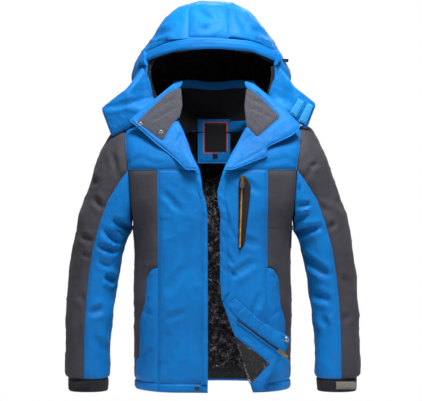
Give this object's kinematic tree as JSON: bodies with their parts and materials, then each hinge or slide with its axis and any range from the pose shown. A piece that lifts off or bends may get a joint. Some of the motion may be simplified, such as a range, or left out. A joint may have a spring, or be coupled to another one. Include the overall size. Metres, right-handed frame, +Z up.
{
  "type": "ski jacket",
  "caption": "Hooded insulated ski jacket with long sleeves, an open zipped front, a spread collar, a zipped chest pocket and a fleece lining.",
  "frame": {"origin": "bearing point on the underside of the hang loop inside the back of the neck", "axes": "+X to the wearer's left, +Y to the wearer's back, +Z up as the jacket hangs"},
  "size_m": [0.782, 0.3527, 1.026],
  "materials": {
    "blue_shell": "matt coated woven shell cloth",
    "charcoal_shell": "matt woven shell cloth",
    "heather_facing": "brushed heather jersey",
    "black_cloth": "matt black webbing and twill",
    "dark_fur": "long-pile fleece lining",
    "patch": "hook-and-loop tape",
    "steel_hardware": "brushed metal",
    "black_plastic": "moulded plastic",
    "gold_metal": "lacquered metal"
  },
  "bodies": {
    "jacket_body": {"front_yoke_right": "blue_shell", "front_yoke_left": "blue_shell", "back_yoke": "blue_shell", "back_panel": "blue_shell", "pocket_panel_right": "blue_shell", "pocket_panel_left": "blue_shell", "hem_band": "blue_shell", "lapel_right": "blue_shell", "lapel_left": "blue_shell", "collar": "blue_shell", "neck_facing": "blue_shell", "hood_neck": "blue_shell", "hood_wing_right": "blue_shell", "hood_wing_left": "blue_shell", "side_panel_right": "charcoal_shell", "side_panel_left": "charcoal_shell", "shoulder_cap_right": "charcoal_shell", "shoulder_cap_left": "charcoal_shell", "collar_facing_right": "heather_facing", "collar_facing_left": "heather_facing", "collar_lining": "black_cloth", "neck_label": "black_cloth", "hang_loop": "black_cloth", "body_lining": "dark_fur", "wing_patch_inner": "patch", "wing_patch_outer": "patch", "collar_snap_upper": "steel_hardware", "collar_snap_lower": "steel_hardware"},
    "front_right": {"front_panel_right": "blue_shell", "hem_band_right": "blue_shell", "lining_right": "dark_fur", "placket": "blue_shell", "hem_snap": "black_plastic"},
    "front_left": {"front_panel_left": "blue_shell", "lining_left": "dark_fur", "chest_welt": "black_cloth", "chest_zip": "gold_metal"},
    "chest_slider": {"chest_slider": "steel_hardware"},
    "chest_pull": {"chest_pull": "gold_metal"},
    "corner_flap": {"flap_facing": "blue_shell", "flap_fur": "dark_fur", "storm_flap": "blue_shell", "main_zip": "black_plastic", "flap_snap": "steel_hardware"},
    "main_slider": {"main_slider": "steel_hardware"},
    "main_pull": {"main_pull": "gold_metal"},
    "arm_right": {"sleeve_outer_right": "charcoal_shell", "sleeve_inner_right": "blue_shell", "cuff_right": "black_cloth"},
    "arm_left": {"sleeve_outer_left": "charcoal_shell", "sleeve_inner_left": "blue_shell", "cuff_left": "black_cloth"},
    "cuff_strap_right": {"cuff_strap_right": "black_cloth"},
    "cuff_strap_left": {"cuff_strap_left": "black_cloth"},
    "hood": {"hood_brim": "blue_shell", "hood_centre": "blue_shell", "hood_side_right": "blue_shell", "hood_side_left": "blue_shell", "hood_lining": "dark_fur", "hood_cord_stop": "black_plastic"}
  },
  "joints": [
    {"name": "front_right_open", "type": "hinge", "parent": "jacket_body", "child": "front_right", "pos_m": [-0.148, -0.2169, -0.449], "axis": [0, 0, -1], "range_deg": [0, 40]},
    {"name": "front_left_open", "type": "hinge", "parent": "jacket_body", "child": "front_left", "pos_m": [0.14, -0.2169, -0.449], "axis": [0, 0, 1], "range_deg": [0, 40]},
    {"name": "corner_unfold", "type": "hinge", "parent": "front_left", "child": "corner_flap", "pos_m": [0.0605, -0.2305, -0.618], "axis": [0.3222, 0, -0.9467], "range_deg": [0, 130]},
    {"name": "main_slider_travel", "type": "slide", "parent": "corner_flap", "child": "main_slider", "axis": [-0.809, 0, 0.5878], "range_m": [0, 0.125]},
    {"name": "main_pull_swing", "type": "hinge", "parent": "main_slider", "child": "main_pull", "pos_m": [0.16964, -0.2483, -0.62811], "axis": [-0.5878, 0, -0.809], "range_deg": [0, 150]},
    {"name": "chest_slider_travel", "type": "slide", "parent": "front_left", "child": "chest_slider", "axis": [-0.0349, 0, -0.9994], "range_m": [0, 0.155]},
    {"name": "chest_pull_swing", "type": "hinge", "parent": "chest_slider", "child": "chest_pull", "pos_m": [0.07169, -0.2435, -0.19999], "axis": [0.9994, 0, -0.0349], "range_deg": [0, 150]},
    {"name": "arm_right_lift", "type": "hinge", "parent": "jacket_body", "child": "arm_right", "pos_m": [-0.284, -0.0804, -0.237], "axis": [0, 1, 0], "range_deg": [0, 50]},
    {"name": "arm_left_lift", "type": "hinge", "parent": "jacket_body", "child": "arm_left", "pos_m": [0.276, -0.0804, -0.237], "axis": [0, -1, 0], "range_deg": [0, 50]},
    {"name": "cuff_strap_right_peel", "type": "hinge", "parent": "arm_right", "child": "cuff_strap_right", "pos_m": [-0.325, -0.1474, -0.727], "axis": [0, 0, 1], "range_deg": [0, 90]},
    {"name": "cuff_strap_left_peel", "type": "hinge", "parent": "arm_left", "child": "cuff_strap_left", "pos_m": [0.317, -0.1474, -0.727], "axis": [0, 0, -1], "range_deg": [0, 90]},
    {"name": "hood_fold", "type": "hinge", "parent": "jacket_body", "child": "hood", "pos_m": [-0.008, -0.0504, -0.017], "axis": [-1, 0, 0], "range_deg": [0, 50]}
  ]
}
